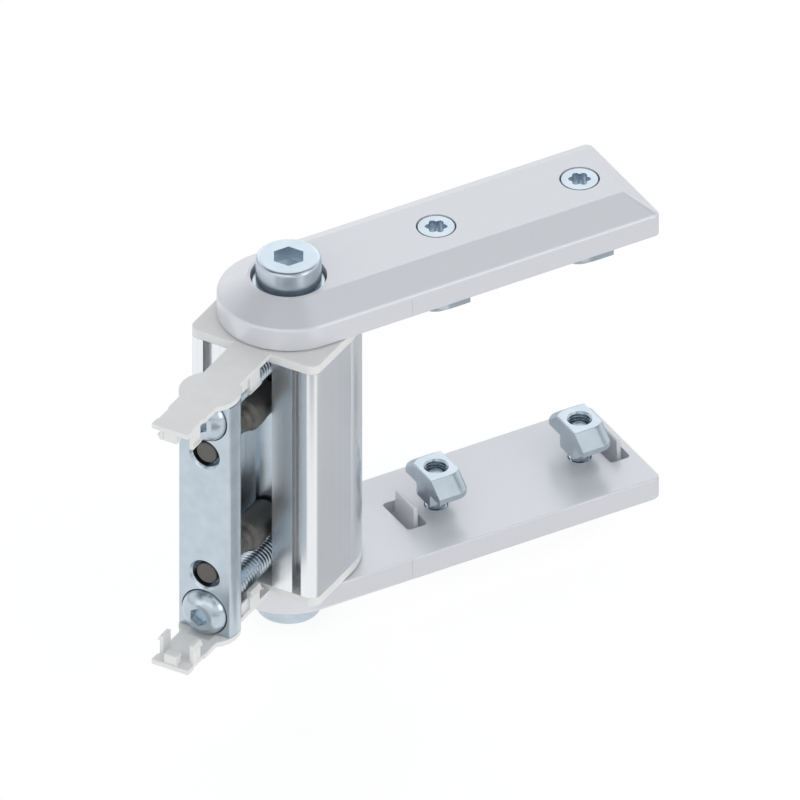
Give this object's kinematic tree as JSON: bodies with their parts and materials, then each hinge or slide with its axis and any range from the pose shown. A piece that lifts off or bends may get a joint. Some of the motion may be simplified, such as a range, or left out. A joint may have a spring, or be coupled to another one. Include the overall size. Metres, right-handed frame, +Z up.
{
  "type": "profile pivot joint",
  "caption": "Pivot joint for aluminium profiles: an upright column with a flat seat and a draw bar carries swinging arms with swivel-in T-nuts.",
  "frame": {"origin": "centre of the column's seat face, where a profile's end is drawn against it", "axes": "+Y from the seat into the column, towards the pivot; +Z up along the pivot axis; +X to the right as seen from the profile that comes from -Y"},
  "size_m": [0.0891, 0.1652, 0.1164],
  "materials": {
    "anodised_aluminium": "natural anodised, satin",
    "coated_aluminium": "light grey powder coat, satin",
    "grey_plastic": "matte",
    "zinc_steel": "bright zinc plated",
    "dark_steel": "dark phosphated"
  },
  "bodies": {
    "column": {"column_profile": "anodised_aluminium", "anchor_bar": "zinc_steel", "cap_top": "grey_plastic", "cap_bottom": "grey_plastic", "cover_strip_top": "grey_plastic", "cover_strip_bottom": "grey_plastic", "pivot_bush_top": "zinc_steel", "pivot_bush_bottom": "zinc_steel", "pivot_washer_top": "zinc_steel", "pivot_washer_bottom": "zinc_steel", "pivot_screw_top": "zinc_steel", "pivot_screw_bottom": "zinc_steel", "locating_pin_upper": "dark_steel", "locating_pin_lower": "dark_steel"},
    "arm_top": {"arm_top": "coated_aluminium"},
    "arm_bottom": {"arm_bottom": "coated_aluminium"},
    "arm_screw_top_near": {"arm_screw_top_near": "zinc_steel"},
    "t_nut_top_near": {"t_nut_top_near": "zinc_steel"},
    "arm_screw_top_far": {"arm_screw_top_far": "zinc_steel"},
    "t_nut_top_far": {"t_nut_top_far": "zinc_steel"},
    "arm_screw_bottom_near": {"arm_screw_bottom_near": "zinc_steel"},
    "t_nut_bottom_near": {"t_nut_bottom_near": "zinc_steel"},
    "arm_screw_bottom_far": {"arm_screw_bottom_far": "zinc_steel"},
    "t_nut_bottom_far": {"t_nut_bottom_far": "zinc_steel"},
    "draw_bar": {"draw_bar": "zinc_steel"},
    "draw_screw_upper": {"draw_screw_upper": "zinc_steel"},
    "draw_screw_lower": {"draw_screw_lower": "zinc_steel"}
  },
  "joints": [
    {"name": "arm_top_swing", "type": "hinge", "parent": "column", "child": "arm_top", "pos_m": [0, 0.02, 0.046], "axis": [0, 0, 1], "range_deg": [-60, 120]},
    {"name": "arm_bottom_swing", "type": "hinge", "parent": "column", "child": "arm_bottom", "pos_m": [0, 0.02, -0.046], "axis": [0, 0, 1], "range_deg": [-60, 120]},
    {"name": "arm_screw_top_near_swivel", "type": "hinge", "parent": "arm_top", "child": "arm_screw_top_near", "pos_m": [0.02315, 0.0601, 0.046], "axis": [0, 0, -1], "range_deg": [-90, 0]},
    {"name": "t_nut_top_near_draw", "type": "slide", "parent": "arm_screw_top_near", "child": "t_nut_top_near", "axis": [0, 0, 1], "range_m": [0, 0.0018]},
    {"name": "arm_screw_top_far_swivel", "type": "hinge", "parent": "arm_top", "child": "arm_screw_top_far", "pos_m": [0.04565, 0.09907, 0.046], "axis": [0, 0, -1], "range_deg": [-90, 0]},
    {"name": "t_nut_top_far_draw", "type": "slide", "parent": "arm_screw_top_far", "child": "t_nut_top_far", "axis": [0, 0, 1], "range_m": [0, 0.0018]},
    {"name": "arm_screw_bottom_near_swivel", "type": "hinge", "parent": "arm_bottom", "child": "arm_screw_bottom_near", "pos_m": [0.02315, 0.0601, -0.046], "axis": [0, 0, 1], "range_deg": [-90, 0]},
    {"name": "t_nut_bottom_near_draw", "type": "slide", "parent": "arm_screw_bottom_near", "child": "t_nut_bottom_near", "axis": [0, 0, -1], "range_m": [0, 0.0018]},
    {"name": "arm_screw_bottom_far_swivel", "type": "hinge", "parent": "arm_bottom", "child": "arm_screw_bottom_far", "pos_m": [0.04565, 0.09907, -0.046], "axis": [0, 0, 1], "range_deg": [-90, 0]},
    {"name": "t_nut_bottom_far_draw", "type": "slide", "parent": "arm_screw_bottom_far", "child": "t_nut_bottom_far", "axis": [0, 0, -1], "range_m": [0, 0.0018]},
    {"name": "draw_bar_pull", "type": "slide", "parent": "column", "child": "draw_bar", "axis": [0, 1, 0], "range_m": [0, 0.001]},
    {"name": "draw_screw_upper_turn", "type": "hinge", "parent": "draw_bar", "child": "draw_screw_upper", "pos_m": [0, -0.0257, 0.032], "axis": [0, 1, 0], "range_deg": [0, 300]},
    {"name": "draw_screw_lower_turn", "type": "hinge", "parent": "draw_bar", "child": "draw_screw_lower", "pos_m": [0, -0.0257, -0.032], "axis": [0, 1, 0], "range_deg": [0, 300]}
  ],
  "couplings": [
    {"joint": "draw_screw_upper_turn", "follows": "draw_bar_pull", "rad_per_m": 5026.5},
    {"joint": "draw_screw_lower_turn", "follows": "draw_bar_pull", "rad_per_m": 5026.5}
  ]
}
